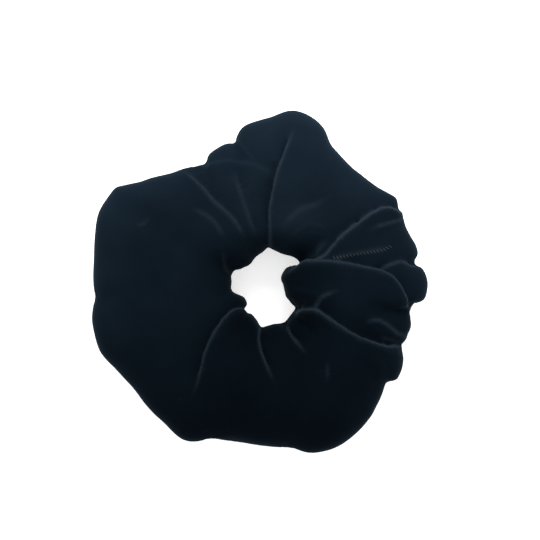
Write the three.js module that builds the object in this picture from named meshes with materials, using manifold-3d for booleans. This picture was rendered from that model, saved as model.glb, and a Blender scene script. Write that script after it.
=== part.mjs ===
/**
 * A gathered velvet scrunchie lying flat, in millimetres, +Z up.
 *
 * A strip of velvet is seamed along its length into a tube, and the tube is gathered on a loop of flat
 * elastic and closed end to end. The tube is hollow: its seam allowance stands inside it as a fin, and the
 * elastic runs round inside it, close to the hair opening.
 *
 * The scrunchie stretches by its two halves parting, so the velvet and the elastic are each divided by an
 * upright plane through the middle of the ring. The held half stays and the pulled half moves.
 *
 * Everything is built round the middle of the ring. The group is then moved so that the origin is the
 * middle of the base.
 */
import * as THREE from 'three';
import Module from 'manifold-3d';
import { ParametricGeometry } from 'three/addons/geometries/ParametricGeometry.js';
import { mergeVertices } from 'three/addons/utils/BufferGeometryUtils.js';

const wasm = await Module();
wasm.setup();

const FULL_TURN = 2 * Math.PI;
const degrees = THREE.MathUtils.degToRad;

// The gathered tube: the edge of the ring and the edge of the hair opening, seen from above, as the
// azimuth in degrees and the distance from the middle of the ring.
const RING_EDGE = [
  [0, 58.0], [22, 54.6], [48, 52.6], [66, 57.5], [77, 63.6], [90, 60.8], [103, 53.0], [118, 50.2],
  [132, 54.0], [146, 64.0], [160, 64.0], [178, 61.0], [198, 63.1], [218, 59.2], [240, 61.5],
  [258, 57.0], [274, 56.6], [292, 62.5], [306, 59.9], [322, 56.1], [337, 53.0], [350, 53.0],
];
const OPENING_EDGE = [
  [0, 6.9], [28, 6.8], [42, 14.4], [70, 13.8], [100, 12.3], [126, 10.1], [156, 13.2], [180, 12.0],
  [205, 8.7], [222, 8.5], [242, 11.4], [268, 13.9], [281, 13.1], [295, 14.2], [317, 13.6], [335, 8.8],
];
const WIDEST_HEIGHT = 12; // height at which the tube is at its widest
const RISE_ABOVE_WIDEST = 15; // from there up to the top of the tube
const CLOTH_THICKNESS = 1.3; // velvet with its pile
const STEPS_ALONG_RING = 72;
const STEPS_ROUND_TUBE = 22;

// The fin of seam allowance inside the tube, on its floor
const FIN_RADIUS = 30; // from the middle of the ring
const FIN_HEIGHT = 6;

// The elastic, a flat band on edge
const BAND_RADIUS = 19;
const BAND_WIDTH = 6;
const BAND_THICKNESS = 0.9;
const LAP_AZIMUTH = degrees(20);
const LAP_LENGTH = 10;
const BAND_STEP = degrees(5);

// The threads
const THREAD_RADIUS = 0.15;
const THREAD_SIDES = 6;
const STEPS_BETWEEN_TURNS = 3; // where a thread turns sharply from side to side
const STITCH_LENGTH = 2.5; // long seam
const STITCH_DIP = 0.2; // how far the long seam's thread sinks towards the cloth at each stitch
const STITCH_LINE_ABOVE_FLOOR = 1;
const CLOSING_SEAM = { from: [25, degrees(24)], to: [47, degrees(18)], pitch: 1.2, halfWidth: 0.6 };
const LAP_CROSSINGS = 5; // of the thread that joins the elastic
const LAP_CROSSING_HALF_HEIGHT = 1.8;

const CLEARANCE = 0.3; // between pieces that touch
const SPLIT_AZIMUTH = degrees(45); // direction in which the pulled half moves
const SPLIT_GAP = 0.3;

const VELVET = new THREE.MeshStandardMaterial({ color: 0x131c26, roughness: 0.95, metalness: 0 });
const ELASTIC = new THREE.MeshStandardMaterial({ color: 0x1b1d20, roughness: 0.8, metalness: 0 });
const THREAD = new THREE.MeshStandardMaterial({ color: 0x10161d, roughness: 0.7, metalness: 0 });

/** A smooth closed edge through its points: the distance from the middle at any azimuth. */
function edgeDistance(edge, azimuth) {
  const angle = THREE.MathUtils.euclideanModulo(THREE.MathUtils.radToDeg(azimuth), 360);
  const count = edge.length;
  const next = edge.findIndex(([at]) => at > angle);
  const after = next < 0 ? count : next;
  const point = (i) => {
    const [at, distance] = edge[(i + count) % count];
    return { at: at + 360 * Math.floor(i / count), distance };
  };
  const slope = (i) => (point(i + 1).distance - point(i - 1).distance) / (point(i + 1).at - point(i - 1).at);
  const a = point(after - 1);
  const b = point(after);
  const span = b.at - a.at;
  const t = (angle - a.at) / span;
  const bend = (2 * t - 3) * t * t;
  return a.distance * (1 + bend) - b.distance * bend
    + span * t * (1 - t) * ((1 - t) * slope(after - 1) - t * slope(after));
}

/** The tube's section at an azimuth, from the middle of its width. */
function sectionAt(azimuth, inset) {
  const inner = edgeDistance(OPENING_EDGE, azimuth) + inset;
  const outer = edgeDistance(RING_EDGE, azimuth) - inset;
  return { middle: (inner + outer) / 2, halfWidth: (outer - inner) / 2, rise: RISE_ABOVE_WIDEST - inset };
}

/** A merged, indexed geometry as a manifold solid. */
function solidOf(geometry) {
  const bare = geometry.clone();
  bare.deleteAttribute('normal');
  bare.deleteAttribute('uv');
  const merged = mergeVertices(bare);
  return new wasm.Manifold(new wasm.Mesh({
    numProp: 3,
    vertProperties: new Float32Array(merged.attributes.position.array),
    triVerts: new Uint32Array(merged.index.array),
  }));
}

/** A manifold solid as a geometry. */
function geometryOf(solid) {
  const mesh = solid.getMesh();
  const geometry = new THREE.BufferGeometry();
  geometry.setAttribute('position', new THREE.BufferAttribute(mesh.vertProperties, 3));
  geometry.setIndex(new THREE.BufferAttribute(mesh.triVerts, 1));
  geometry.computeVertexNormals();
  return geometry;
}

/** The gathered tube's surface, moved inwards by inset, with a flat underside. */
function tubeSurface(inset) {
  const place = (round, along, target) => {
    const azimuth = FULL_TURN * along;
    const { middle, halfWidth, rise } = sectionAt(azimuth, inset);
    const distance = middle + halfWidth * Math.cos(FULL_TURN * round);
    const height = Math.max(inset, WIDEST_HEIGHT - rise * Math.sin(FULL_TURN * round));
    target.set(distance * Math.cos(azimuth), distance * Math.sin(azimuth), height);
  };
  return new ParametricGeometry(place, STEPS_ROUND_TUBE, STEPS_ALONG_RING);
}

/** The two layers of seam allowance, as an upright ring that is rooted in the tube's floor. */
function seamFin() {
  const inner = FIN_RADIUS - CLOTH_THICKNESS;
  const outer = FIN_RADIUS + CLOTH_THICKNESS;
  const root = CLOTH_THICKNESS / 2;
  const top = CLOTH_THICKNESS + FIN_HEIGHT;
  const profile = [[inner, root], [outer, root], [outer, top], [inner, top], [inner, root]];
  const ring = new THREE.LatheGeometry(profile.map(([x, y]) => new THREE.Vector2(x, y)), STEPS_ALONG_RING);
  return ring.rotateX(Math.PI / 2);
}

/** All that lies to one side of the dividing plane: side is 1 for the pulled half and -1 for the held. */
function halfSpace(side) {
  const reach = 200;
  const block = new THREE.BoxGeometry(reach, reach, reach);
  block.translate(side * (reach + SPLIT_GAP) / 2, 0, 0);
  return solidOf(block.rotateZ(SPLIT_AZIMUTH));
}

/** One half of the velvet tube with its fin. */
function sleeveHalf(side) {
  const shell = solidOf(tubeSurface(0)).subtract(solidOf(tubeSurface(CLOTH_THICKNESS)));
  return geometryOf(shell.add(solidOf(seamFin())).intersect(halfSpace(side)));
}

/** A stretch of the elastic on edge, whose distance from the middle may change with azimuth. */
function bandStretch(from, to, distanceAt) {
  const steps = Math.ceil((to - from) / BAND_STEP);
  const azimuths = Array.from({ length: steps + 1 }, (_, i) => from + ((to - from) * i) / steps);
  const edge = (offset) => azimuths.map((azimuth) => {
    const distance = distanceAt(azimuth) + offset;
    return new THREE.Vector2(distance * Math.cos(azimuth), distance * Math.sin(azimuth));
  });
  const outline = [...edge(-BAND_THICKNESS / 2), ...edge(BAND_THICKNESS / 2).reverse()];
  const band = new THREE.ExtrudeGeometry(new THREE.Shape(outline), { depth: BAND_WIDTH, bevelEnabled: false });
  return band.translate(0, 0, WIDEST_HEIGHT - BAND_WIDTH / 2);
}

/** A round thread along a smooth curve through its points. */
function threadAlong(points, stepsBetween = 1) {
  const section = new THREE.Shape();
  section.absarc(0, 0, THREAD_RADIUS, 0, FULL_TURN);
  return new THREE.ExtrudeGeometry(section, {
    steps: (points.length - 1) * stepsBetween,
    curveSegments: THREAD_SIDES / 2,
    extrudePath: new THREE.CatmullRomCurve3(points),
  });
}

/** A point at a distance from the middle of the ring. */
function polarPoint(distance, azimuth, height) {
  return new THREE.Vector3(distance * Math.cos(azimuth), distance * Math.sin(azimuth), height);
}

/** Half of a long-seam thread: face is -1 on the fin's inner face and 1 on its outer face. */
function longSeamThread(side, face) {
  const distance = FIN_RADIUS + face * (CLOTH_THICKNESS + CLEARANCE + THREAD_RADIUS);
  const endAngle = Math.PI / 2 - (SPLIT_GAP + THREAD_RADIUS) / distance;
  const middle = SPLIT_AZIMUTH + (side < 0 ? Math.PI : 0);
  const stitches = Math.round((2 * endAngle * distance) / STITCH_LENGTH);
  const steps = 2 * stitches;
  const height = CLOTH_THICKNESS + STITCH_LINE_ABOVE_FLOOR;
  return threadAlong(Array.from({ length: steps + 1 }, (_, i) => {
    const azimuth = middle + endAngle * ((2 * i) / steps - 1);
    return polarPoint(distance + face * STITCH_DIP * (i % 2), azimuth, height);
  }));
}

/** The height of the tube's upper surface at a place. */
function topHeight(distance, azimuth) {
  const { middle, halfWidth, rise } = sectionAt(azimuth, 0);
  const across = (distance - middle) / halfWidth;
  return WIDEST_HEIGHT + rise * Math.sqrt(1 - across * across);
}

/** The whipped thread that closes the tube end to end, over its top. */
function closingSeamThread() {
  const [fromDistance, fromAzimuth] = CLOSING_SEAM.from;
  const [toDistance, toAzimuth] = CLOSING_SEAM.to;
  const crossings = Math.round((toDistance - fromDistance) / CLOSING_SEAM.pitch);
  const points = Array.from({ length: crossings + 1 }, (_, i) => {
    const distance = THREE.MathUtils.lerp(fromDistance, toDistance, i / crossings);
    const across = CLOSING_SEAM.halfWidth * (i % 2 ? 1 : -1);
    const azimuth = THREE.MathUtils.lerp(fromAzimuth, toAzimuth, i / crossings) + across / distance;
    return polarPoint(distance, azimuth, topHeight(distance, azimuth) + CLEARANCE + THREAD_RADIUS);
  });
  return threadAlong(points, STEPS_BETWEEN_TURNS);
}

/** The zigzag thread on the outer face of the elastic's lap. */
function elasticJoinThread() {
  const face = BAND_RADIUS + BAND_THICKNESS + CLEARANCE + BAND_THICKNESS / 2;
  const distance = face + CLEARANCE + THREAD_RADIUS;
  const halfAngle = LAP_LENGTH / 2 / BAND_RADIUS;
  const points = Array.from({ length: LAP_CROSSINGS + 1 }, (_, i) => {
    const azimuth = LAP_AZIMUTH + halfAngle * ((2 * i) / LAP_CROSSINGS - 1);
    const height = WIDEST_HEIGHT + LAP_CROSSING_HALF_HEIGHT * (i % 2 ? 1 : -1);
    return polarPoint(distance, azimuth, height);
  });
  return threadAlong(points, STEPS_BETWEEN_TURNS);
}

/** The elastic's stretches: the held half, and the two ends that lap in the pulled half. */
function elasticStretches() {
  const cut = SPLIT_GAP / 2 / BAND_RADIUS;
  const quarter = Math.PI / 2;
  const halfLap = LAP_LENGTH / 2 / BAND_RADIUS;
  const outward = BAND_THICKNESS + CLEARANCE;
  const even = () => BAND_RADIUS;
  const lapped = (azimuth) => BAND_RADIUS
    + outward * (1 - THREE.MathUtils.smoothstep(azimuth, LAP_AZIMUTH + halfLap, LAP_AZIMUTH + 3 * halfLap));
  return {
    elastic_held_half: bandStretch(SPLIT_AZIMUTH + quarter + cut, SPLIT_AZIMUTH + 3 * quarter - cut, even),
    elastic_inner_end: bandStretch(SPLIT_AZIMUTH - quarter + cut, LAP_AZIMUTH + halfLap, even),
    elastic_outer_end: bandStretch(LAP_AZIMUTH - halfLap, SPLIT_AZIMUTH + quarter - cut, lapped),
  };
}

const scrunchie = new THREE.Group();

function addPieces(geometries, material) {
  for (const [name, geometry] of Object.entries(geometries)) {
    const mesh = new THREE.Mesh(geometry, material.clone());
    mesh.name = name;
    scrunchie.add(mesh);
  }
}

addPieces({ sleeve_held_half: sleeveHalf(-1), sleeve_pulled_half: sleeveHalf(1) }, VELVET);
addPieces(elasticStretches(), ELASTIC);
addPieces({
  seam_needle_thread_held_half: longSeamThread(-1, -1),
  seam_needle_thread_pulled_half: longSeamThread(1, -1),
  seam_bobbin_thread_held_half: longSeamThread(-1, 1),
  seam_bobbin_thread_pulled_half: longSeamThread(1, 1),
  closing_seam_thread: closingSeamThread(),
  elastic_join_thread: elasticJoinThread(),
}, THREAD);

const box = new THREE.Box3().setFromObject(scrunchie);
const middle = box.getCenter(new THREE.Vector3());
scrunchie.position.set(-middle.x, -middle.y, -box.min.z);

export default scrunchie;
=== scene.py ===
"""The looks of a gathered velvet scrunchie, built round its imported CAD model.

Shapes are worked out in millimetres from the middle of the ring, with +X to the right and +Y away as the
scrunchie is seen from above, and become metres in the CAD's frame when a mesh is made.

The velvet is one closed tube of cloth with an outer and an inner face. Its plump ring comes from two
outlines, and each fold is a line along which the petal in front rises, rolls over and covers the one
behind. A short cloth simulation then buckles the lower half. The elastic and the threads are modelled
whole.
"""
import math
from dataclasses import dataclass

import bmesh
import bpy
import numpy as np
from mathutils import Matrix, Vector, kdtree, noise


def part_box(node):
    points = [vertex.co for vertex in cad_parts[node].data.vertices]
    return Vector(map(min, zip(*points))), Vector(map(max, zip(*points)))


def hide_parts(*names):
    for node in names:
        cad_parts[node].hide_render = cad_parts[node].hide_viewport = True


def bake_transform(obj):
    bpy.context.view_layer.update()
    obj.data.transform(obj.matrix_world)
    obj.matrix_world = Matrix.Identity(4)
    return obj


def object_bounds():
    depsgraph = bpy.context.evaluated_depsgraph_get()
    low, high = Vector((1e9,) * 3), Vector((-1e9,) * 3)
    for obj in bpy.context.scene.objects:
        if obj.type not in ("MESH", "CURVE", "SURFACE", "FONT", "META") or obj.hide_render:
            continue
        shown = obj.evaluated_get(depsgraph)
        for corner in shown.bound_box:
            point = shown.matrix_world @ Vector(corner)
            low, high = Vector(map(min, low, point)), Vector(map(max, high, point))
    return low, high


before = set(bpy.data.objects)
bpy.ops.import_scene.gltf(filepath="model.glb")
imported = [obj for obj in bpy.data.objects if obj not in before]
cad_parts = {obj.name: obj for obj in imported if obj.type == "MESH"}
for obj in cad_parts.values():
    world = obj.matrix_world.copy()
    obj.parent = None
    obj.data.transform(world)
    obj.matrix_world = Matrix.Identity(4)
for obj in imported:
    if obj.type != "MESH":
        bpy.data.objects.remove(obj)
CAD_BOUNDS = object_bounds()

MM = 0.001

# The edge of the ring and of the hair opening from above: azimuth in degrees, distance from the middle.
RING_EDGE = [
    (1, 59.3), (4, 58.7), (7.5, 57.0), (9.4, 54.9), (11.5, 56.7), (15, 56.2), (19, 54.8),
    (25, 53.7), (30, 56.1), (34, 57.3), (37, 56.2), (43, 54.1), (53, 52.8), (64, 55.9),
    (69.5, 60.5), (74, 62.4), (81, 63.7), (88, 60.9), (97, 57.3), (100, 54.5), (102, 52.7),
    (105, 53.3), (109, 53.1), (113.5, 52.3), (116.5, 50.1), (128, 52.1), (139, 57.7), (143, 61.2),
    (147, 64.3), (154, 64.7), (163, 62.8), (172, 61.7), (183, 60.9), (192, 62.7), (200, 62.6),
    (210, 60.4), (220, 59.8), (232, 59.9), (241, 61.1), (252, 57.3), (266, 55.7), (277, 57.1),
    (287, 61.5), (294, 62.4), (303, 61.5), (309, 60.3), (314, 58.1), (318, 56.0), (321, 54.4),
    (323, 55.2), (325, 56.8), (328, 56.2), (332, 54.5), (335.5, 52.0), (338, 54.3), (344, 54.5),
    (349, 52.6), (351.5, 52.2), (353.3, 57.0), (356, 58.9), (358.5, 59.2),
]
OPENING_EDGE = [
    (0, 7.4), (25, 7.4), (33, 9.4), (38, 15.2), (48, 14.2), (60, 13.2), (79, 13.6), (88, 11.2),
    (95, 10.3), (112, 9.1), (126, 8.3), (141, 9.5), (156, 12.1), (171, 11.2), (186, 11.3),
    (200, 9.2), (213, 7.8), (229, 8.4), (237, 12.0), (249, 13.5), (261, 15.4), (276, 15.1),
    (287, 15.5), (296, 17.0), (308, 15.3), (318, 15.9), (328, 10.4), (335, 8.6), (345, 7.8),
]
# How far the tube's top is above its widest height, by azimuth
TOP_RISE = [
    (0, 13.6), (40, 13.0), (70, 13.8), (105, 12.2), (150, 13.6), (200, 14.0), (250, 14.2),
    (310, 14.0),
]
WIDEST_HEIGHT = 12.0
UNDER_DEPTH = 12.6  # the tube's underside, which then settles flat on the floor
SECTION_POWER = 0.88  # below 1, the tube's section is fuller than an ellipse
FLOOR_SOFTNESS = 0.8  # the height below which the underside flattens out
BELOW_ALL = -20.0  # heights well clear of the ring, where rays start
ABOVE_ALL = 40.0

CLOTH_THICKNESS = 1.3
STEPS_ALONG_RING = 620
STEPS_ROUND_TUBE = 190
SLEEVE_VOXEL = 0.78
LINING_VOXEL = 1.5

# The gathered seam allowance inside the tube, two layers side by side
FIN_RADIUS = 30.0
FIN_HEIGHT = 6.0
FIN_WAVES = 44
FIN_WAVE_AT_ROOT = 0.8
FIN_WAVE_AT_TOP = 2.3
FIN_STEPS = 396
FIN_HALF_WIDTH = 1.25
LAYER_GAP = 0.1
FIN_ROWS = 5
FOOT_REACH = 3  # steps to either side over which the fin's foot clears the puckers

# The tucks of cloth that the folds take in: how far across and how far down their outline goes
TUCK_PROFILE = [
    (1.25, 0), (0.05, 0), (0.05, 6.8), (-0.05, 6.8), (-0.05, 0), (-1.25, 0), (-1.25, 2.6),
    (-1.25, 5.2), (-1.15, 7.2), (-0.6, 8.0), (0.6, 8.0), (1.15, 7.2), (1.25, 5.2), (1.25, 2.6),
]
TUCK_START = 2.8  # below the plain ring's surface
TUCK_CLEARANCE = 4.5  # from the elastic, outwards and upwards
SHORTEST_TUCK = 3  # points along the fold

# The elastic, a braided band on edge whose ends lap
BAND_RADIUS = 19.0
BAND_WIDTH = 6.0
BAND_THICKNESS = 0.9
LAP_AZIMUTH = math.radians(20)
LAP_LENGTH = 10.0
LAP_GAP = 0.3
BAND_STEPS = 480
RIBS = 8
STEPS_ACROSS_RIB = 3
BRAID_RELIEF = 0.14
STRAND_PITCH = 1.3

# The threads
THREAD_SIDES = 8
PLY_PITCH = 0.9
PLY_DEPTH = 0.10
LONG_SEAM_HEIGHT = 1.0  # above the fin's foot
LONG_SEAM_STITCHES = 75
LONG_SEAM_RADIUS = 0.15
STEPS_PER_STITCH = 8
HOLE_SHARPNESS = 8
THREAD_CLEARANCE = 0.1  # from the cloth that the thread lies on
STITCH_DIP = 0.9  # how far the thread sinks in at each stitch hole
CLOSING_SEAM_LINE = [(24.0, 10.3), (28.1, 10.7), (33.1, 11.6), (37.7, 12.2), (41.3, 12.9), (44.4, 14.3)]
CLOSING_STITCH = 1.2  # from one stitch to the next
CLOSING_THREAD_RADIUS = 0.145
CLOSING_SWING = 0.4  # to either side of the seam
CLOSING_RISE = 0.24
CLOSING_SINK = 0.04
JOIN_CROSSINGS = 12
JOIN_HALF_HEIGHT = 1.9
JOIN_MARGIN = 0.6  # from the ends of the lap
JOIN_DIP = 0.3
JOIN_HOLE_SHARPNESS = 12
STEPS_PER_CROSSING = 12

# The floor, the lights and the camera
FLOOR_REACH = 6.0
FLOOR_DROP = 0.2  # below the scrunchie's base
FLOOR_GLOW = 0.58
WORLD_LIGHT = 1.0
SOFTBOX_PLACE = (0.05, 0.95, 0.75)
SOFTBOX_SIZE = (1.2, 0.7)
SOFTBOX_POWER = 22
CAMERA_DISTANCE = 0.9
VIEW_WIDTH = 192.2  # seen from edge to edge, at the scrunchie's widest height
VIEW_SHIFT = (3.6, 3.9)  # from the middle of the CAD box to the middle of the view
SENSOR_WIDTH = 36

# Painted light and shade by azimuth: the pile's colour is lighter at the ring's top and darker at its
# bottom
LIGHT_AND_SHADE_BY_AZIMUTH = [
    (5, 0.9), (30, 1.05), (75, 1.5), (110, 1.25), (150, 0.95), (185, 0.85), (225, 0.56),
    (265, 0.42), (305, 0.5), (340, 0.66),
]
# Painted light towards the ring's outer edge, by azimuth: how much lighter the pile's colour gets there
PAINTED_EDGE_LIGHT = [(40, 0.0), (110, 0.15), (150, 0.45), (190, 0.25), (250, 0.0), (320, 0.1)]
PAINTED_EDGE_LIGHT_REACH = (42, 62)  # the distances from the middle at which this starts and is full
OPENING_SHADE = 0.68  # painted shade at the opening: the pile's colour times this there
OPENING_SHADE_REACH = (10, 30)

# The pile's colours: plain ones, crushed, and a painted highlight along a ridge, which is partly the pile
# opening there
PILE_COLOURS = [(0.0022, 0.0044, 0.0072), (0.0042, 0.0080, 0.0126)]
CRUSHED_PILE = (0.014, 0.021, 0.029)
OPEN_PILE_AND_HIGHLIGHT = (0.018, 0.027, 0.037)
CREASE_SHADE = 0.7  # painted shade in the creases, as a share of the plain pile's colour

# The scrunchie's place, round the middle of the imported elastic's ring
BAND_LOW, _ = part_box("elastic_held_half")
BAND_EDGE = BAND_RADIUS + BAND_THICKNESS / 2
RING_MIDDLE = np.array([BAND_LOW.x + BAND_EDGE * MM, BAND_LOW.y + BAND_EDGE * MM, 0.0])


@dataclass
class Fold:
    """A fold: its line from the opening outwards, and the petal in front of it.

    front is "right" or "left" of the line's direction. rise and drop are how far the petal in front
    stands up and the one behind sinks, near the line; reach is how far that goes; roll is the rounding of
    the front edge; lap is how far the front edge covers the petal behind. ends say what becomes of the
    fold at either end: "wall" runs on down the wall of the tube, and a number is the length over which it
    fades. crest is how strongly a painted highlight lightens the front edge, which is partly the pile
    opening there, and width is half that line's width.
    """

    line: list
    front: str
    rise: float
    drop: float
    reach: float
    roll: float = 1.6
    lap: float = 0.9
    ends: tuple = ("wall", "wall")
    crest: float = 1.0
    width: float = 0.36


FOLDS = [
    # the long fold up to the top lobe
    Fold([(2.5, 14.5), (2.0, 22), (2.2, 28.5), (4.4, 39), (8.2, 50), (10, 57)],
         "right", rise=1.8, drop=2.2, reach=12, ends=("wall", 9.0)),
    # the folds on the right
    Fold([(17, 9.6), (21.6, 11.6), (26, 16.7), (33, 22.4), (38, 26), (43, 28), (48, 26.4)],
         "right", rise=1.6, drop=1.4, reach=9),
    Fold([(16.4, 11.2), (17.8, 13.9), (21.4, 17)],
         "right", rise=0.3, drop=0.3, reach=3, roll=0.8, lap=0.0, ends=(2.0, 3.0), crest=0.25, width=0.8),
    Fold([(36, 20.5), (43.4, 22.8), (49.5, 24.6)],
         "right", rise=0.8, drop=0.6, reach=4, roll=0.9, lap=0.4,
         ends=(5.0, "wall"), crest=0.5, width=0.6),
    Fold([(39, 6.2), (43, 7.3), (48.2, 8.7), (52.0, 7.8)],
         "right", rise=1.0, drop=1.6, reach=5, roll=1.3, ends=(4.0, "wall"), crest=0.7),
    Fold([(11, 7.7), (20.3, 9.0), (28.5, 8.3), (37.2, 6.4), (41.1, 5.3), (44.6, 3.5), (47.3, 0.5),
          (49.4, -3.6), (50.5, -7.0)],
         "right", rise=2.3, drop=2.0, reach=9, crest=0.75),
    Fold([(11, -8.5), (16, -7.8), (19.2, -8.5), (25, -12.8), (32.4, -17.3), (40, -20.3), (45, -21.6),
          (48.5, -21.2)],
         "right", rise=2.2, drop=2.0, reach=10, crest=0.75),
    Fold([(16.7, -7.6), (18.6, -5.8), (20.8, -3.4), (26.4, -1.4)],
         "left", rise=0.7, drop=0.6, reach=4, roll=0.9, lap=0.3, ends=(3.0, 4.0), crest=0.5, width=0.7),
    Fold([(35, -11.8), (38.9, -11.2), (42, -12.4), (46.8, -16.2)],
         "right", rise=0.9, drop=0.6, reach=4, roll=1.0, lap=0.4,
         ends=(3.5, "wall"), crest=0.55, width=0.55),
    Fold([(40.6, -17.2), (44.5, -18.4), (48.2, -19.8)],
         "right", rise=0.4, drop=0.0, reach=3, roll=0.9, lap=0.0, ends=(3.0, 4.0), crest=0.4, width=0.6),
    Fold([(37, -20), (40.2, -23.1), (42.4, -28.5), (43.2, -34)],
         "right", rise=0.5, drop=0.6, reach=6, roll=2.4, lap=0.3, ends=(8.0, "wall"), crest=0.0),
    # the folds at the bottom
    Fold([(5.6, -12.4), (7.5, -15.7), (9.6, -18.2), (16.4, -24.4)],
         "right", rise=1.5, drop=1.6, reach=8, ends=("wall", 9.0), crest=0.55),
    Fold([(-3.4, -12.6), (-2.5, -19.8), (0.4, -27.4), (5.0, -35.0)],
         "right", rise=1.6, drop=1.8, reach=9, ends=("wall", 11.0), crest=0.6),
    Fold([(-5.4, -8.6), (-8.9, -7.9), (-12.1, -8.9), (-16.4, -13.9), (-20.6, -22.4), (-23.3, -32.4),
          (-26.5, -39.5)],
         "left", rise=1.9, drop=2.0, reach=10, ends=("wall", 13.0), crest=0.6),
    Fold([(21.4, -25.5), (21.4, -33.5)],
         "left", rise=0.4, drop=0.4, reach=3, roll=0.7, lap=0.0, ends=(4.0, 4.0), crest=0.35, width=0.5),
    Fold([(-12.6, 4.8), (-14.2, 7.1), (-15.3, 13.5)],
         "right", rise=0.6, drop=0.6, reach=4, roll=0.8, lap=0.2,
         ends=("wall", 5.0), crest=0.3, width=0.6),
    # the creases at the upper left
    Fold([(-6.4, 17), (-10.3, 23.4), (-14.2, 27.4), (-18, 30.6), (-21.6, 35), (-28.4, 41.4)],
         "left", rise=0.9, drop=0.9, reach=5, roll=1.0, lap=0.3, ends=(6.0, 7.0), crest=0.45, width=0.6),
    Fold([(-13.6, 17.4), (-17.1, 22.8), (-20.3, 25.6), (-26, 28.4)],
         "left", rise=0.5, drop=0.6, reach=4, roll=0.8, lap=0.1, ends=(4.0, 5.0), crest=0.3, width=0.7),
    Fold([(-2.2, 17), (-5.3, 24.4), (-7.1, 29.4), (-8.5, 33.5), (-10.6, 41)],
         "left", rise=0.8, drop=0.8, reach=5, roll=0.9, lap=0.2, ends=(5.0, 6.0), crest=0.33, width=0.6),
    Fold([(-3.2, 44.0), (-6.2, 47.2), (-9.2, 51), (-11, 54)],
         "right", rise=0.6, drop=0.6, reach=5, roll=1.5, lap=0.2,
         ends=(4.0, "wall"), crest=0.3, width=0.6),
    Fold([(3.4, 40.2), (0, 41.8), (-5, 44.0), (-8.5, 44.9), (-13, 45.2), (-17, 44.8), (-21.6, 43.6)],
         "left", rise=0.5, drop=0.6, reach=5, roll=1.5, lap=0.2,
         ends=(3.0, "wall"), crest=0.15, width=0.7),
    Fold([(6.5, 20), (8.0, 24), (12.5, 27.8), (18, 29.6), (24, 33)],
         "right", rise=0.5, drop=0.6, reach=7, roll=1.2, lap=0.0, ends=(4.0, 8.0), crest=0.2, width=1.0),
    Fold([(9.0, 17.0), (11.8, 19.6), (16.5, 21.6), (20.5, 20.8), (22.8, 19.2)],
         "left", rise=0.4, drop=0.4, reach=3, roll=1.0, lap=0.0, ends=(4.0, 4.0), crest=0.25, width=0.7),
    # a small crushed mark
    Fold([(-45.6, 21.4), (-42.4, 21.8), (-40.4, 24.4)],
         "left", rise=0.1, drop=0.1, reach=2, roll=0.5, lap=0.0, ends=(2.0, 2.0), crest=0.3, width=0.6),
    # the pinched lip of the closing seam
    Fold(CLOSING_SEAM_LINE,
         "left", rise=0.35, drop=0.45, reach=1.8, roll=0.7, lap=0.0,
         ends=(3.0, 4.0), crest=0.4, width=0.7),
]
FOLD_STEP = 1.6  # between the points of a fold's line
WALL_DEPTH = 12.0  # how far a fold runs down a wall
FOLD_DEPTH = 0.75  # of every fold's rise and drop
FINE_ABOVE = 0.2  # the crest strength above which the mesh is finer
CREST_OFFSET = 0.5  # from the fold's line, on the petal in front
FOLD_MARGIN = 2.5  # times a fold's reach, past which it moves nothing
LAP_REACH = 2.0  # how far from the line the lapping goes
LAP_BEHIND = 0.6  # of the lap, how far the petal behind slides under the one in front

PLEATS = 43  # small gathers round the lower half of the tube
PLEAT_DEPTH = 3.4
PLEAT_LEVEL = 0.75  # how much of their depth lies inwards of the plain ring
PLEAT_ROUNDNESS = 0.8  # below 1, the gathers are fuller than a sine wave
PLEAT_SHIFT = 1.3  # of the creases, by the wobbles that make the pleats uneven in width
PLEAT_WOBBLE = [(0.9, 3, 1.0), (0.7, 7, 0.4), (0.5, 11, 2.0)]  # size, waves round the ring, phase
PLEAT_SLANT = [(0.4, 2, 5), (0.25, 5, -9)]  # size, waves round the tube, waves round the ring
PLEAT_START = 0.12  # the sine of the turn where they start, just above the widest height
PLEAT_FULL = -0.75  # and of the turn where they are at full depth
PLEAT_SIZES = (0.72, 0.28)  # their mean size, and how much it varies round the ring
PLEAT_UNDER = 0.5  # of their depth that is there everywhere; the rest comes towards the opening
PLEAT_OUTER_LOSS = 0.2  # of their depth at the very edge of the ring
SWELL_HEIGHT = 1.1
SWELL_LENGTH = 17.0

# The cloth simulation
CLOTH_VOXEL = 2.0
CLOTH_QUALITY = 6
CLOTH_MASS = 0.3
CLOTH_FRAMES = 16
CLOTH_GROWTH = 0.10  # of the loose cloth, which makes it buckle
CLOTH_PRESSURE = 20.0
CLOTH_CAP = 1.2  # the furthest that the simulation may move a point
CLOTH_HOLD = 0.6  # how much of its movement the upper half gives up
LOOSE_DEPTH = 9.0  # below the widest height, where the cloth is wholly loose
HOLD_DEPTH = 6.0  # below the widest height, where the upper half's hold ends
DRIFT_ROUNDS = 40  # of averaging, which leaves only the slow drift to take away


def smoothstep(low, high, value):
    t = np.clip((value - low) / (high - low), 0, 1)
    return t * t * (3 - 2 * t)


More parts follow.
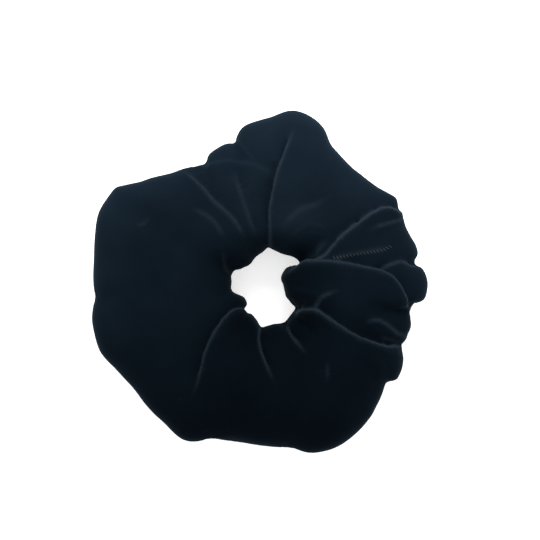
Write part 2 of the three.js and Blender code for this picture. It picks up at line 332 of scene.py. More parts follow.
def around(points, azimuth):
    """A value by azimuth, through points of (degrees, value), with no overshoot between them."""
    at = np.radians([p[0] for p in points])
    value = np.array([p[1] for p in points], float)
    at = np.concatenate([at[-2:] - 2 * math.pi, at, at[:2] + 2 * math.pi])
    value = np.concatenate([value[-2:], value, value[:2]])
    span = np.diff(at)
    secant = np.diff(value) / span
    left, right = secant[:-1], secant[1:]
    flat = left * right <= 0
    slope = np.where(flat, 0, 2 * left * right / np.where(flat, 1, left + right))
    turned = np.mod(azimuth, 2 * math.pi)
    i = np.clip(np.searchsorted(at, turned, side="right") - 1, 1, len(at) - 3)
    t = (turned - at[i]) / span[i]
    blend = t * t * (3 - 2 * t)
    bow = span[i] * t * (1 - t) * ((1 - t) * slope[i - 1] - t * slope[i])
    return value[i] * (1 - blend) + value[i + 1] * blend + bow


def full_turn(steps):
    """Even angles once round."""
    return np.arange(steps) / steps * 2 * math.pi


def powered(value):
    return np.sign(value) * np.abs(value) ** SECTION_POWER


def ring_surface(azimuth, turn, inset=0.0):
    """The plain plump ring: turn is 0 at its outer edge, a quarter at its top, a half at the opening."""
    outer = around(RING_EDGE, azimuth) - inset
    inner = around(OPENING_EDGE, azimuth) + inset
    upper = around(TOP_RISE, azimuth) - inset
    distance = (outer + inner) / 2 + (outer - inner) / 2 * powered(np.cos(turn))
    rise = powered(np.sin(turn))
    height = WIDEST_HEIGHT + np.where(rise > 0, upper, UNDER_DEPTH - inset) * rise
    return np.stack([distance * np.cos(azimuth), distance * np.sin(azimuth), height], axis=-1)


def turn_over(azimuth, distance):
    """The turn at which the ring's top lies at a distance from the middle."""
    outer = around(RING_EDGE, azimuth)
    inner = around(OPENING_EDGE, azimuth)
    across = np.clip((distance - (outer + inner) / 2) / ((outer - inner) / 2), -1, 1)
    return np.arccos(np.sign(across) * np.abs(across) ** (1 / SECTION_POWER))


def smooth_line(points, step):
    """A Catmull-Rom line through points, with points about step apart."""
    p = np.array(points, float)
    p = np.vstack([2 * p[0] - p[1], p, 2 * p[-1] - p[-2]])
    line = []
    for i in range(1, len(p) - 2):
        count = max(2, int(np.linalg.norm(p[i + 1] - p[i]) / step))
        for t in np.arange(count) / count:
            a = -t + 2 * t**2 - t**3
            b = 2 - 5 * t**2 + 3 * t**3
            c = t + 4 * t**2 - 3 * t**3
            d = -(t**2) + t**3
            line.append((a * p[i - 1] + b * p[i] + c * p[i + 1] + d * p[i + 2]) / 2)
    return np.array([*line, p[-2]])


def down_the_wall(azimuth, turn, direction):
    """Points on down the wall from a turn, at one azimuth."""
    turns = turn + direction * np.arange(1, int(WALL_DEPTH / FOLD_STEP) + 1) * FOLD_STEP / WIDEST_HEIGHT
    return ring_surface(np.full(len(turns), azimuth), turns)


def fold_line(fold):
    """The fold's line on the plain ring, with how strong the fold is at each of its points."""
    flat = smooth_line(fold.line, FOLD_STEP)
    azimuth = np.arctan2(flat[:, 1], flat[:, 0])
    turn = turn_over(azimuth, np.hypot(flat[:, 0], flat[:, 1]))
    line = ring_surface(azimuth, turn)
    if fold.ends[0] == "wall":
        line = np.vstack([down_the_wall(azimuth[0], turn[0], 1)[::-1], line])
    if fold.ends[1] == "wall":
        line = np.vstack([line, down_the_wall(azimuth[-1], turn[-1], -1)])
    along = np.concatenate([[0], np.cumsum(np.linalg.norm(np.diff(line, axis=0), axis=1))])
    fades = [WALL_DEPTH if end == "wall" else end for end in fold.ends]
    strength = smoothstep(0, fades[0], along) * smoothstep(0, fades[1], along[-1] - along)
    return line, strength


def beside_line(places, normals, line, strength):
    """For each place: its distance from the line, positive to the right, the line's strength at its
    nearest point, and the direction away from the line."""
    nearest = np.full(len(places), np.inf)
    side = np.zeros(len(places))
    power = np.zeros(len(places))
    away = np.zeros_like(places)
    for i in range(len(line) - 1):
        a, run = line[i], line[i + 1] - line[i]
        t = np.clip((places - a) @ run / (run @ run), 0, 1)
        offset = places - a - t[:, None] * run
        far = np.linalg.norm(offset, axis=1)
        closer = far < nearest
        nearest[closer] = far[closer]
        turned = np.einsum("ij,ij->i", np.cross(run, offset[closer]), normals[closer])
        side[closer] = np.where(turned > 0, -1, 1)
        power[closer] = strength[i] + t[closer] * (strength[i + 1] - strength[i])
        away[closer] = offset[closer] / np.maximum(far[closer], 1e-6)[:, None]
    return nearest * side, power, away


def add_fold(fold, places, normals, moved, crest):
    """Raises, sinks and laps the cloth beside one fold."""
    line, strength = fold_line(fold)
    margin = FOLD_MARGIN * fold.reach
    near = np.flatnonzero(((places > line.min(0) - margin) & (places < line.max(0) + margin)).all(1))
    distance, power, away = beside_line(places[near], normals[near], line, strength)
    ahead = distance * (1 if fold.front == "right" else -1)
    far = np.abs(ahead)
    inside = np.clip(1 - far / fold.roll, 0, 1)
    roll = fold.roll * (1 - np.sqrt(1 - inside**2))
    fade = FOLD_DEPTH * np.exp(-far / fold.reach)
    up = np.where(ahead > 0, fold.rise * fade - roll, -fold.drop * fade)
    cover = np.where(ahead > 0, -fold.lap, -LAP_BEHIND * fold.lap) * np.exp(-((far / LAP_REACH) ** 2))
    moved[near] += power[:, None] * (up[:, None] * normals[near] + cover[:, None] * away)
    # A painted highlight along the front edge, partly the pile opening over it
    line_light = fold.crest * power * np.exp(-(((ahead - CREST_OFFSET) / fold.width) ** 2))
    crest[near] = np.maximum(crest[near], line_light)


def surface_normals(grid):
    """Outward normals of a closed grid of points."""
    along = np.roll(grid, -1, axis=0) - np.roll(grid, 1, axis=0)
    round_it = np.roll(grid, -1, axis=1) - np.roll(grid, 1, axis=1)
    normal = np.cross(along, round_it)
    normal /= np.maximum(np.linalg.norm(normal, axis=-1, keepdims=True), 1e-9)
    return normal


def puckers(azimuth, turn):
    """Small gathers: creases between rounded pleats of uneven width, low down on the tube."""
    wobble = sum(size * np.sin(waves * azimuth + phase) for size, waves, phase in PLEAT_WOBBLE)
    wobble += sum(size * np.sin(turn * across + along * azimuth) for size, across, along in PLEAT_SLANT)
    pleat = np.abs(np.sin(PLEATS / 2 * azimuth + PLEAT_SHIFT * wobble))
    mean, variation = PLEAT_SIZES
    uneven = mean + variation * np.sin(5 * azimuth + 2.2) * np.sin(8 * azimuth - 0.7)
    lower = smoothstep(PLEAT_START, PLEAT_FULL, np.sin(turn))
    inner = (1 - PLEAT_UNDER) * smoothstep(0.4, -0.8, np.cos(turn))
    outer = PLEAT_OUTER_LOSS * smoothstep(0.7, 1.0, np.cos(turn))
    share = PLEAT_UNDER + inner - outer
    return PLEAT_DEPTH * uneven * lower * share * (pleat**PLEAT_ROUNDNESS - PLEAT_LEVEL)


def swell(places):
    """A slow unevenness of the filled cloth."""
    shift = Vector((3.1, 7.7, 0.4))
    return SWELL_HEIGHT * np.array([noise.noise(Vector(p) / SWELL_LENGTH + shift) for p in places])


def sleeve_cloth(steps):
    """The cloth's outer points as a closed grid, and how far each is on a fold's crest."""
    azimuth, turn = np.meshgrid(full_turn(steps[0]), full_turn(steps[1]), indexing="ij")
    grid = ring_surface(azimuth, turn)
    normals = surface_normals(grid).reshape(-1, 3)
    places = grid.reshape(-1, 3)
    moved = (puckers(azimuth, turn).ravel() + swell(places))[:, None] * normals
    crest = np.zeros(len(places))
    for fold in FOLDS:
        add_fold(fold, places, normals, moved, crest)
    return places + moved, crest


def settled(height):
    """The underside comes to rest on the floor: what would sink below it flattens out."""
    low = FLOOR_SOFTNESS * np.exp((height - FLOOR_SOFTNESS) / FLOOR_SOFTNESS)
    return np.where(height < FLOOR_SOFTNESS, low, height)


# Meshes


def grid_faces(steps, closed=True):
    """The faces of a grid that closes on itself across, and that closes on itself or is capped along."""
    rows = steps[0] if closed else steps[0] - 1
    i, j = np.meshgrid(np.arange(rows), np.arange(steps[1]), indexing="ij")
    i, j = i.ravel(), j.ravel()
    following, up = (i + 1) % steps[0], (j + 1) % steps[1]
    corners = [i * steps[1] + j, following * steps[1] + j, following * steps[1] + up, i * steps[1] + up]
    faces = np.stack(corners, axis=1).tolist()
    if not closed:
        last = (steps[0] - 1) * steps[1]
        faces += [list(range(steps[1])), list(range(last + steps[1] - 1, last - 1, -1))]
    return faces


def new_object(name, points, faces):
    """A mesh object from points in millimetres round the middle of the ring."""
    mesh = bpy.data.meshes.new(name)
    mesh.from_pydata((np.asarray(points).reshape(-1, 3) * MM + RING_MIDDLE).tolist(), [], faces)
    mesh.polygons.foreach_set("use_smooth", np.ones(len(mesh.polygons), bool))
    mesh.update()
    obj = bpy.data.objects.new(name, mesh)
    bpy.context.scene.collection.objects.link(obj)
    return obj


def copy_object(obj, name):
    copy = bpy.data.objects.new(name, obj.data.copy())
    bpy.context.scene.collection.objects.link(copy)
    return copy


def mesh_points(obj):
    """The mesh's points in millimetres round the middle of the ring."""
    co = np.zeros(len(obj.data.vertices) * 3)
    obj.data.vertices.foreach_get("co", co)
    return (co.reshape(-1, 3) - RING_MIDDLE) / MM


def set_points(obj, points):
    obj.data.vertices.foreach_set("co", (points * MM + RING_MIDDLE).ravel())
    obj.data.update()


def mesh_normals(obj):
    normals = np.zeros(len(obj.data.vertices) * 3)
    obj.data.vertices.foreach_get("normal", normals)
    return normals.reshape(-1, 3)


def apply_modifiers(obj):
    """Replaces the object's mesh by what its modifiers make of it."""
    evaluated = obj.evaluated_get(bpy.context.evaluated_depsgraph_get())
    mesh = bpy.data.meshes.new_from_object(evaluated)
    obj.modifiers.clear()
    old = obj.data
    obj.data = mesh
    bpy.data.meshes.remove(old)


def even_out(obj, voxel, rounds):
    """Rebuilds a closed mesh with even faces, and relaxes it."""
    remesh = obj.modifiers.new("even", "REMESH")
    remesh.mode = "VOXEL"
    remesh.voxel_size = voxel * MM
    remesh.use_smooth_shade = True
    relax = obj.modifiers.new("relax", "SMOOTH")
    relax.factor = 0.5
    relax.iterations = rounds
    apply_modifiers(obj)
    keep_largest(obj)


def carried_over(places, values, to_places, nearest):
    """Values known at some places, at other places: the mean of the nearest few, by nearness."""
    tree = kdtree.KDTree(len(places))
    for i, place in enumerate(places):
        tree.insert(place, i)
    tree.balance()
    found = [tree.find_n(place, nearest) for place in to_places]
    index = np.array([[hit[1] for hit in hits] for hits in found])
    weight = 1 / (np.array([[hit[2] for hit in hits] for hits in found]) + 0.05) ** 2
    weight /= weight.sum(axis=1, keepdims=True)
    return np.einsum("ij,ij...->i...", weight, values[index])


def refine(obj, wanted):
    """Divides the edges between the points that are wanted finer."""
    fine = bmesh.new()
    fine.from_mesh(obj.data)
    edges = [edge for edge in fine.edges if all(wanted[v.index] for v in edge.verts)]
    bmesh.ops.subdivide_edges(fine, edges=edges, cuts=1, use_grid_fill=True)
    bmesh.ops.triangulate(fine, faces=[face for face in fine.faces if len(face.verts) > 4])
    fine.to_mesh(obj.data)
    fine.free()


def keep_largest(obj):
    """Deletes the small closed bubbles that a remesh leaves inside a fold."""
    shell = bmesh.new()
    shell.from_mesh(obj.data)
    left = set(shell.verts)
    parts = []
    while left:
        part = [left.pop()]
        for vertex in part:
            near = {edge.other_vert(vertex) for edge in vertex.link_edges} & left
            left -= near
            part.extend(near)
        parts.append(part)
    parts.sort(key=len)
    bmesh.ops.delete(shell, geom=[vertex for part in parts[:-1] for vertex in part], context="VERTS")
    shell.to_mesh(obj.data)
    shell.free()


def set_attribute(obj, name, values):
    attribute = obj.data.attributes.new(name, "FLOAT", "POINT")
    attribute.data.foreach_set("value", values.astype(np.float32))


def neighbour_mean(obj, values):
    """The mean of each point's neighbours along its edges."""
    edges = np.zeros(len(obj.data.edges) * 2, int)
    obj.data.edges.foreach_get("vertices", edges)
    a, b = edges.reshape(-1, 2).T
    count = len(values)
    share = np.bincount(a, minlength=count) + np.bincount(b, minlength=count)
    columns = np.asarray(values, float).reshape(count, -1).T
    total = [np.bincount(a, c[b], count) + np.bincount(b, c[a], count) for c in columns]
    return (np.stack(total, axis=1) / share[:, None]).reshape(np.shape(values))


def smoothed(obj, values, rounds):
    for _ in range(rounds):
        values = (values + neighbour_mean(obj, values)) / 2
    return values


def bulge(obj, rounds):
    """How strongly the surface bulges at each point: above 0 on ridges, below 0 in creases."""
    points = mesh_points(obj)
    value = np.einsum("ij,ij->i", points - neighbour_mean(obj, points), mesh_normals(obj))
    return smoothed(obj, value, rounds)


# The velvet sleeve


def simulate_cloth(sleeve):
    """A coarse copy of the sleeve buckles as cloth for a moment, and the sleeve moves with it."""
    copy = copy_object(sleeve, "cloth_copy")
    even_out(copy, CLOTH_VOXEL, rounds=1)
    start = mesh_points(copy)
    loose = copy.vertex_groups.new(name="loose")
    for i, weight in enumerate(smoothstep(WIDEST_HEIGHT, WIDEST_HEIGHT - LOOSE_DEPTH, start[:, 2])):
        loose.add([i], float(weight), "REPLACE")
    cloth = copy.modifiers.new("cloth", "CLOTH")
    cloth.settings.quality = CLOTH_QUALITY
    cloth.settings.mass = CLOTH_MASS
    cloth.settings.vertex_group_shrink = "loose"
    cloth.settings.shrink_min = 0.0
    cloth.settings.shrink_max = -CLOTH_GROWTH
    cloth.settings.use_pressure = True
    cloth.settings.uniform_pressure_force = CLOTH_PRESSURE
    cloth.settings.effector_weights.gravity = 0
    cloth.point_cache.frame_start = 1
    cloth.point_cache.frame_end = CLOTH_FRAMES
    for number in range(1, CLOTH_FRAMES + 1):
        bpy.context.scene.frame_set(number)
    apply_modifiers(copy)
    moved = mesh_points(copy) - start
    moved -= smoothed(copy, moved, DRIFT_ROUNDS)
    moved *= 1 - CLOTH_HOLD * smoothstep(WIDEST_HEIGHT - HOLD_DEPTH, WIDEST_HEIGHT, start[:, 2:])
    far = np.linalg.norm(moved, axis=1, keepdims=True)
    moved *= np.minimum(1, CLOTH_CAP / np.maximum(far, 1e-6))
    bpy.context.scene.frame_set(1)
    bpy.data.objects.remove(copy)
    points = mesh_points(sleeve)
    points += carried_over(start, moved, points, nearest=5)
    points[:, 2] = settled(points[:, 2])
    set_points(sleeve, points)


def make_lining(sleeve):
    """The sleeve's inner face, a cloth's thickness inside its outer one."""
    lining = copy_object(sleeve, "lining")
    even_out(lining, LINING_VOXEL, rounds=1)
    set_points(lining, mesh_points(lining) - CLOTH_THICKNESS * mesh_normals(lining))
    lining.data.flip_normals()
    return lining


def fin_wave(azimuth, height):
    """How far the gathers push the seam allowance outwards, at a height above the tube's floor."""
    size = FIN_WAVE_AT_ROOT + (FIN_WAVE_AT_TOP - FIN_WAVE_AT_ROOT) * height / FIN_HEIGHT
    return size * np.sin(FIN_WAVES * azimuth + 0.8 * np.sin(5 * azimuth))


def cloth_height(sleeve, x, y, start, missed):
    """The height at which a ray from a start height meets the sleeve, straight above or below (x, y)."""
    origin = Vector(np.array([x, y, start]) * MM + RING_MIDDLE)
    hit, spot, _, _ = sleeve.ray_cast(origin, Vector((0, 0, 1 if start < 0 else -1)))
    return spot.z / MM if hit else missed


def fin_foot(sleeve):
    """The height of the fin's foot at each of its steps, which follows the puckered floor of the tube."""
    azimuth = full_turn(FIN_STEPS)
    root = ring_point(FIN_RADIUS + fin_wave(azimuth, 0), azimuth, 0)
    floor = [cloth_height(sleeve, x, y, BELOW_ALL, missed=0.0) for x, y, _ in root]
    shifts = range(-FOOT_REACH, FOOT_REACH + 1)
    highest = np.max([np.roll(floor, shift) for shift in shifts], axis=0)
    return np.mean([np.roll(highest, shift) for shift in shifts], axis=0) + CLOTH_THICKNESS


def make_fin_layer(foot, inner, outer):
    """One layer of seam allowance, between two distances from the fin's middle."""
    rows = np.linspace(0, FIN_HEIGHT, FIN_ROWS)
    height = np.concatenate([rows, rows[::-1]])
    offset = np.repeat([outer, inner], FIN_ROWS)
    azimuth = full_turn(FIN_STEPS)[:, None]
    radius = FIN_RADIUS + offset + fin_wave(azimuth, height)
    points = ring_point(radius, azimuth, height + foot[:, None])
    return new_object("fin_layer", points, grid_faces((FIN_STEPS, len(height))))


def make_tuck(fold):
    """The cloth that a fold takes in: a doubled layer that hangs inside the tube under its line."""
    line, _ = fold_line(fold)
    azimuth = np.arctan2(line[:, 1], line[:, 0])
    distance = np.hypot(line[:, 0], line[:, 1])
    inside = (line[:, 2] > WIDEST_HEIGHT + TUCK_CLEARANCE) & (distance > BAND_RADIUS + TUCK_CLEARANCE)
    if inside.sum() < SHORTEST_TUCK:
        return None
    turn = turn_over(azimuth, distance)[inside]
    top, azimuth = line[inside], azimuth[inside]
    beside = np.cross(np.gradient(top, axis=0), [0, 0, 1.0])
    beside /= np.linalg.norm(beside, axis=1, keepdims=True)
    down = ring_surface(azimuth, turn, inset=1.0) - top
    down /= np.linalg.norm(down, axis=1, keepdims=True)
    rows = np.stack([top + x * beside + (TUCK_START + y) * down for x, y in TUCK_PROFILE], axis=1)
    return new_object("tuck", rows, grid_faces(rows.shape[:2], closed=False))


def join_into(obj, others):
    with bpy.context.temp_override(active_object=obj, selected_editable_objects=[obj, *others]):
        bpy.ops.object.join()


def painted_light_and_shade(points):
    """Painted light and shade at each point: lighter at the top of the ring, darker at its bottom and at
    the opening, and painted light towards the outer edge on some sides.
    """
    azimuth = np.arctan2(points[:, 1], points[:, 0])
    distance = np.hypot(points[:, 0], points[:, 1])
    # Painted shade towards the opening
    opening_shade = OPENING_SHADE + (1 - OPENING_SHADE) * smoothstep(*OPENING_SHADE_REACH, distance)
    # Painted light towards the outer edge on some sides
    painted_edge = 1 + around(PAINTED_EDGE_LIGHT, azimuth) * smoothstep(*PAINTED_EDGE_LIGHT_REACH, distance)
    return around(LIGHT_AND_SHADE_BY_AZIMUTH, azimuth) * opening_shade * painted_edge


def make_sleeve():
    steps = (STEPS_ALONG_RING, STEPS_ROUND_TUBE)
    points, crest = sleeve_cloth(steps)
    points[:, 2] = settled(points[:, 2])
    sleeve = new_object("velvet_sleeve", points, grid_faces(steps))
    even_out(sleeve, SLEEVE_VOXEL, rounds=7)
    refine(sleeve, carried_over(points, crest, mesh_points(sleeve), nearest=4) > FINE_ABOVE)
    # The painted highlight along each fold's front edge, partly the pile opening there
    set_attribute(sleeve, "crest", carried_over(points, crest, mesh_points(sleeve), nearest=4))
    simulate_cloth(sleeve)
    # The bulge, which the velvet turns into painted shade in the creases and a painted highlight on the
    # ridges
    set_attribute(sleeve, "fold", bulge(sleeve, rounds=6))
    # Painted light and shade, lighter at the top of the ring and darker at its bottom and its opening
    set_attribute(sleeve, "painted_tone", painted_light_and_shade(mesh_points(sleeve)))
    lining = make_lining(sleeve)
    foot = fin_foot(sleeve)
    sides = [(-FIN_HALF_WIDTH, -LAYER_GAP / 2), (LAYER_GAP / 2, FIN_HALF_WIDTH)]
    layers = [make_fin_layer(foot, inner, outer) for inner, outer in sides]
    tucks = [tuck for tuck in map(make_tuck, FOLDS) if tuck]
    join_into(sleeve, [lining, *layers, *tucks])
    return sleeve


# The elastic and the threads


def ring_point(radius, azimuth, height):
    x, y = radius * np.cos(azimuth), radius * np.sin(azimuth)
    return np.stack(np.broadcast_arrays(x, y, height), axis=-1)


def band_lap(azimuth):
    """How far the band's outer end lies outside its ring, which it comes back to past the lap."""
    half_lap = LAP_LENGTH / 2 / BAND_RADIUS
    past_lap = smoothstep(LAP_AZIMUTH + half_lap, LAP_AZIMUTH + 3 * half_lap, azimuth)
    return (BAND_THICKNESS + LAP_GAP) * (1 - past_lap)


def braid(along, across):
    """The braid's relief, from 0 to 1: ribs along the band, whose strands slant left and right in turn."""
    rib = across * RIBS
    side = np.where(np.floor(np.minimum(rib, RIBS - 0.01)) % 2 == 0, 1, -1)
    strand = 0.5 + 0.5 * np.cos(2 * math.pi * (along / STRAND_PITCH + side * rib * 0.5))
    return np.abs(np.sin(math.pi * rib)) * (0.55 + 0.45 * strand)


def make_elastic():
    """One braided band, from its outer end round to its inner end."""
    half_lap = LAP_LENGTH / 2 / BAND_RADIUS
    start = LAP_AZIMUTH - half_lap
    azimuth = np.linspace(start, LAP_AZIMUTH + half_lap + 2 * math.pi, BAND_STEPS)[:, None]
    up = np.linspace(0, 1, RIBS * STEPS_ACROSS_RIB + 1)
    across = np.concatenate([up, up[::-1]])
    face = np.repeat([1, -1], len(up))
    depth = BAND_THICKNESS / 2 - BRAID_RELIEF * (1 - braid(azimuth * BAND_RADIUS, across))
    radius = BAND_RADIUS + band_lap(azimuth) + face * depth
    points = ring_point(radius, azimuth, WIDEST_HEIGHT + (across - 0.5) * BAND_WIDTH)
    return new_object("braided_elastic", points, grid_faces((BAND_STEPS, len(across)), closed=False))


def make_thread(name, path, radius, closed=False):
    """A twisted two-ply thread along a path."""
    tangent = np.roll(path, -1, 0) - np.roll(path, 1, 0) if closed else np.gradient(path, axis=0)
    tangent /= np.linalg.norm(tangent, axis=1, keepdims=True)
    normal = np.zeros_like(path)
    side = np.array([0, 0, 1.0])
    for i, ahead in enumerate(tangent):
        side = side - ahead * (side @ ahead)
        side /= np.linalg.norm(side)
        normal[i] = side
    across = np.cross(normal, tangent)
    step = np.linalg.norm(np.diff(path, axis=0, prepend=path[:1]), axis=1)
    twist = 2 * math.pi * np.cumsum(step)[:, None] / PLY_PITCH
    angle = full_turn(THREAD_SIDES)
    size = radius * (1 - PLY_DEPTH + PLY_DEPTH * np.cos(2 * angle - twist))
    points = path[:, None] + size[..., None] * (
        np.cos(angle)[:, None] * normal[:, None] + np.sin(angle)[:, None] * across[:, None]
    )
    return new_object(name, points, grid_faces((len(path), THREAD_SIDES), closed))


def make_long_seam_thread(sleeve, name, face):
    """One of the lockstitch's threads, on the fin's inner face (-1) or outer face (1)."""
    azimuth = full_turn(LONG_SEAM_STITCHES * STEPS_PER_STITCH)
    hole = np.abs(np.cos(LONG_SEAM_STITCHES * azimuth / 2)) ** HOLE_SHARPNESS
    offset = CLOTH_THICKNESS + THREAD_CLEARANCE - STITCH_DIP * hole
    radius = FIN_RADIUS + fin_wave(azimuth, LONG_SEAM_HEIGHT) + face * offset
    foot = np.interp(azimuth, full_turn(FIN_STEPS), fin_foot(sleeve), period=2 * math.pi)
    path = ring_point(radius, azimuth, foot + LONG_SEAM_HEIGHT)
    return make_thread(name, path, LONG_SEAM_RADIUS, closed=True)


def make_closing_stitches(sleeve):
    """The thread that is whipped over the closing seam's lip, half sunk in the pile."""
    line = smooth_line(CLOSING_SEAM_LINE, 0.1)
    along = np.concatenate([[0], np.cumsum(np.linalg.norm(np.diff(line, axis=0), axis=1))])
    run = np.gradient(line, axis=0)
    run /= np.linalg.norm(run, axis=1, keepdims=True)
    turn = 2 * math.pi * along / CLOSING_STITCH
    place = line + CLOSING_SWING * np.cos(turn)[:, None] * np.stack([-run[:, 1], run[:, 0]], axis=1)
    top = [cloth_height(sleeve, x, y, ABOVE_ALL, missed=WIDEST_HEIGHT) for x, y in place]
    height = np.array(top) - CLOSING_SINK + CLOSING_RISE * np.sin(turn)
    return make_thread("closing_seam_stitches", np.column_stack([place, height]), CLOSING_THREAD_RADIUS)


def make_join_stitches():
    """The zigzag that joins the elastic's lap, on its outer face."""
    t = np.linspace(0, 1, JOIN_CROSSINGS * STEPS_PER_CROSSING + 1)
    half_lap = (LAP_LENGTH / 2 - JOIN_MARGIN) / BAND_RADIUS
    azimuth = LAP_AZIMUTH + half_lap * (2 * t - 1)
    swing = np.cos(math.pi * JOIN_CROSSINGS * t)
    face = BAND_RADIUS + BAND_THICKNESS + LAP_GAP + BAND_THICKNESS / 2
    radius = face + THREAD_CLEARANCE - JOIN_DIP * np.abs(swing) ** JOIN_HOLE_SHARPNESS
    path = ring_point(radius, azimuth, WIDEST_HEIGHT + JOIN_HALF_HEIGHT * swing)
    return make_thread("elastic_join_stitches", path, LONG_SEAM_RADIUS)


# Materials


class Nodes:
    """A material's nodes, joined up as they are made."""

    def __init__(self, name):
        self.material = bpy.data.materials.new(name)
        self.material.use_nodes = True
        self.tree = self.material.node_tree
        self.shader = self.tree.nodes["Principled BSDF"]

    def socket(self, socket, value):
        if isinstance(value, bpy.types.NodeSocket):
            self.tree.links.new(value, socket)
        elif isinstance(value, tuple) and len(value) == 3 and socket.type == "RGBA":
            socket.default_value = (*value, 1)
        else:
            socket.default_value = value

    def set(self, **values):
        for name, value in values.items():
            self.socket(self.shader.inputs[name.replace("_", " ")], value)

    def noise(self, scale, detail=2.0, stretch=(1, 1, 1)):
        place = self.tree.nodes.new("ShaderNodeTexCoord")
        mapping = self.tree.nodes.new("ShaderNodeMapping")
        self.tree.links.new(place.outputs["Object"], mapping.inputs["Vector"])
        mapping.inputs["Scale"].default_value = stretch
        texture = self.tree.nodes.new("ShaderNodeTexNoise")
        texture.inputs["Scale"].default_value = scale
        texture.inputs["Detail"].default_value = detail
        self.tree.links.new(mapping.outputs["Vector"], texture.inputs["Vector"])
        return texture.outputs["Fac"]

    def attribute(self, name):
        node = self.tree.nodes.new("ShaderNodeAttribute")
        node.attribute_name = name
        return node.outputs["Fac"]

    def between(self, value, low, high, to_low=0.0, to_high=1.0):
        """to_low where the value is at or below low, to_high at or above high, and smoothly between."""
        node = self.tree.nodes.new("ShaderNodeMapRange")
        node.interpolation_type = "SMOOTHSTEP"
        limits = {"From Min": low, "From Max": high, "To Min": to_low, "To Max": to_high}
        for name, number in limits.items():
            node.inputs[name].default_value = number
        self.tree.links.new(value, node.inputs["Value"])
        return node.outputs["Result"]

    def math(self, operation, a, b):
        node = self.tree.nodes.new("ShaderNodeMath")
        node.operation = operation
        self.socket(node.inputs[0], a)
        self.socket(node.inputs[1], b)
        return node.outputs["Value"]

    def mix(self, factor, a, b, blend_type="MIX"):
        node = self.tree.nodes.new("ShaderNodeMix")
        node.data_type = "RGBA"
        node.blend_type = blend_type
        self.socket(node.inputs["Factor"], factor)
        self.socket(node.inputs["A"], a)
        self.socket(node.inputs["B"], b)
        return node.outputs["Result"]

    def times(self, colour, value):
        """A colour made lighter or darker by a value."""
        node = self.tree.nodes.new("ShaderNodeVectorMath")
        node.operation = "SCALE"
        self.tree.links.new(colour, node.inputs[0])
        self.tree.links.new(value, node.inputs["Scale"])
        return node.outputs["Vector"]

    def bump(self, height, strength, distance):
        node = self.tree.nodes.new("ShaderNodeBump")
        node.inputs["Strength"].default_value = strength
        node.inputs["Distance"].default_value = distance * MM
        self.tree.links.new(height, node.inputs["Height"])
        return node.outputs["Normal"]


def velvet_material():
    """Dense short pile: painted shade in the creases, a painted highlight on the ridges that is partly the
    pile opening there, and lighter where it is crushed.
    """
    n = Nodes("black_velvet")
    pile = n.noise(1900)
    cloudy = n.noise(60, 3)
    colour = n.mix(cloudy, *PILE_COLOURS)
    # Painted light and shade by azimuth, at the opening and towards the outer edge
    colour = n.times(colour, n.attribute("painted_tone"))
    # Painted shade in the creases
    colour = n.times(colour, n.between(n.attribute("fold"), -0.06, 0.0, CREASE_SHADE, 1.0))
    brushed = n.between(n.noise(130, 4, (1, 1.6, 1)), 0.66, 0.88)
    brushed = n.math("MULTIPLY", brushed, n.between(pile, 0.3, 0.7))
    colour = n.mix(n.math("MULTIPLY", brushed, 0.22), colour, CRUSHED_PILE)
    # A painted highlight on the ridges and along the fold edges, partly the pile opening there
    ridge_highlight_and_open_pile = n.math("MULTIPLY", n.between(n.attribute("fold"), 0.02, 0.09), 0.3)
    lit = n.math("MAXIMUM", n.attribute("crest"), ridge_highlight_and_open_pile)
    lit = n.math("MULTIPLY", lit, n.between(pile, 0.3, 0.7, 0.5, 1.0))
    colour = n.mix(lit, colour, OPEN_PILE_AND_HIGHLIGHT)
    n.set(Base_Color=colour, Roughness=n.between(pile, 0.2, 0.8, 0.8, 1.0), Specular_IOR_Level=0.0)
    n.set(Sheen_Weight=0.06, Sheen_Roughness=0.38, Sheen_Tint=(0.5, 0.77, 1.0))
    n.set(Normal=n.bump(pile, 0.4, 0.16))
    return n.material


def elastic_material():
    """Braided elastic: dull yarn over rubber, with dusty high spots."""
    n = Nodes("black_braid")
    yarn = n.noise(2600)
    colour = n.mix(n.between(yarn, 0.3, 0.7), (0.010, 0.011, 0.012), (0.030, 0.032, 0.035))
    colour = n.mix(n.between(n.noise(120), 0.5, 0.8, 0.0, 0.4), colour, (0.045, 0.046, 0.048))
    n.set(Base_Color=colour, Roughness=n.between(yarn, 0.2, 0.8, 0.6, 0.85), Specular_IOR_Level=0.3)
    n.set(Sheen_Weight=0.15, Sheen_Roughness=0.5, Normal=n.bump(yarn, 0.5, 0.08))
    return n.material


def thread_material():
    """Spun polyester: a soft lustre with fine fibres."""
    n = Nodes("navy_thread")
    fibre = n.noise(5200)
    colour = n.mix(n.between(fibre, 0.3, 0.7), (0.007, 0.010, 0.014), (0.018, 0.026, 0.034))
    n.set(Base_Color=colour, Roughness=n.between(fibre, 0.2, 0.8, 0.5, 0.75), Specular_IOR_Level=0.25)
    n.set(Sheen_Weight=0.1, Sheen_Roughness=0.4, Normal=n.bump(fibre, 0.4, 0.04))
    return n.material


def floor_material():
    """A pale light table."""
    n = Nodes("pale_floor")
    grain = n.noise(9)
    colour = n.mix(grain, (0.90, 0.90, 0.90), (0.94, 0.94, 0.94))
    n.set(Base_Color=colour, Roughness=0.9, Specular_IOR_Level=0.1)
    n.set(Emission_Color=(1.0, 1.0, 1.0), Emission_Strength=FLOOR_GLOW)
    return n.material


# The stage


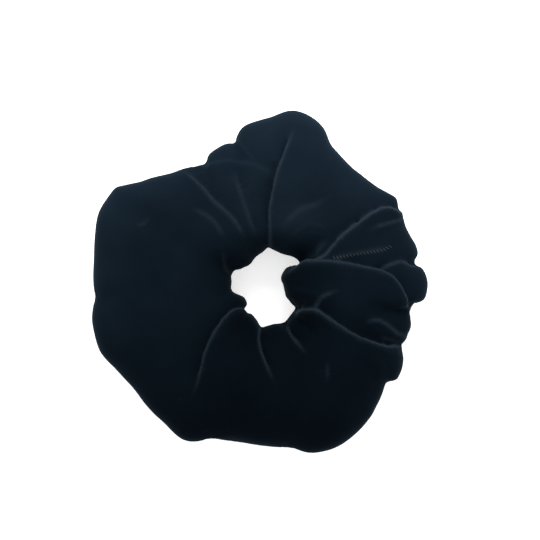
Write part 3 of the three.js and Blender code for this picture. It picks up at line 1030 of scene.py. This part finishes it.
def make_stage():
    mesh = bpy.data.meshes.new("floor")
    corners = [(-1, -1), (1, -1), (1, 1), (-1, 1)]
    points = [(x * FLOOR_REACH, y * FLOOR_REACH, -FLOOR_DROP * MM) for x, y in corners]
    mesh.from_pydata(points, [], [(0, 1, 2, 3)])
    floor = bpy.data.objects.new("floor", mesh)
    mesh.materials.append(floor_material())
    bpy.context.scene.collection.objects.link(floor)

    world = bpy.data.worlds.new("studio")
    world.use_nodes = True
    world.node_tree.nodes["Background"].inputs["Color"].default_value = (1, 1, 1, 1)
    world.node_tree.nodes["Background"].inputs["Strength"].default_value = WORLD_LIGHT
    bpy.context.scene.world = world

    lamp = bpy.data.lights.new("softbox", "AREA")
    lamp.shape = "RECTANGLE"
    lamp.size, lamp.size_y = SOFTBOX_SIZE
    lamp.energy = SOFTBOX_POWER
    light = bpy.data.objects.new("softbox", lamp)
    light.location = SOFTBOX_PLACE
    light.rotation_euler = (-light.location).to_track_quat("-Z", "Y").to_euler()
    bpy.context.scene.collection.objects.link(light)
    bpy.context.scene.view_settings.view_transform = "Standard"


def make_camera():
    """Straight above, with +Y at the top of the picture."""
    lens = bpy.data.cameras.new("camera")
    lens.sensor_width = SENSOR_WIDTH
    lens.lens = SENSOR_WIDTH * CAMERA_DISTANCE / (VIEW_WIDTH * MM)
    camera = bpy.data.objects.new("camera", lens)
    middle = (CAD_BOUNDS[0] + CAD_BOUNDS[1]) / 2
    camera.location.x = middle.x + VIEW_SHIFT[0] * MM
    camera.location.y = middle.y + VIEW_SHIFT[1] * MM
    camera.location.z = WIDEST_HEIGHT * MM + CAMERA_DISTANCE
    bpy.context.scene.collection.objects.link(camera)
    bpy.context.scene.camera = camera


# The pieces


def add_piece(piece, material, nodes):
    """Gives a piece its material, bakes its place into its mesh and hides the CAD parts that it stands
    for.
    """
    piece.data.materials.clear()
    piece.data.materials.append(material)
    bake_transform(piece)
    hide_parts(*nodes)


make_camera()
make_stage()
sleeve = make_sleeve()
closing_stitches = make_closing_stitches(sleeve)
elastic = make_elastic()
join_stitches = make_join_stitches()
needle_thread = make_long_seam_thread(sleeve, "long_seam_needle_thread", -1)
bobbin_thread = make_long_seam_thread(sleeve, "long_seam_bobbin_thread", 1)

THREAD = thread_material()
add_piece(sleeve, velvet_material(), ["sleeve_held_half", "sleeve_pulled_half"])
add_piece(closing_stitches, THREAD, ["closing_seam_thread"])
add_piece(elastic, elastic_material(),
          ["elastic_held_half", "elastic_inner_end", "elastic_outer_end"])
add_piece(join_stitches, THREAD, ["elastic_join_thread"])
add_piece(needle_thread, THREAD,
          ["seam_needle_thread_held_half", "seam_needle_thread_pulled_half"])
add_piece(bobbin_thread, THREAD,
          ["seam_bobbin_thread_held_half", "seam_bobbin_thread_pulled_half"])
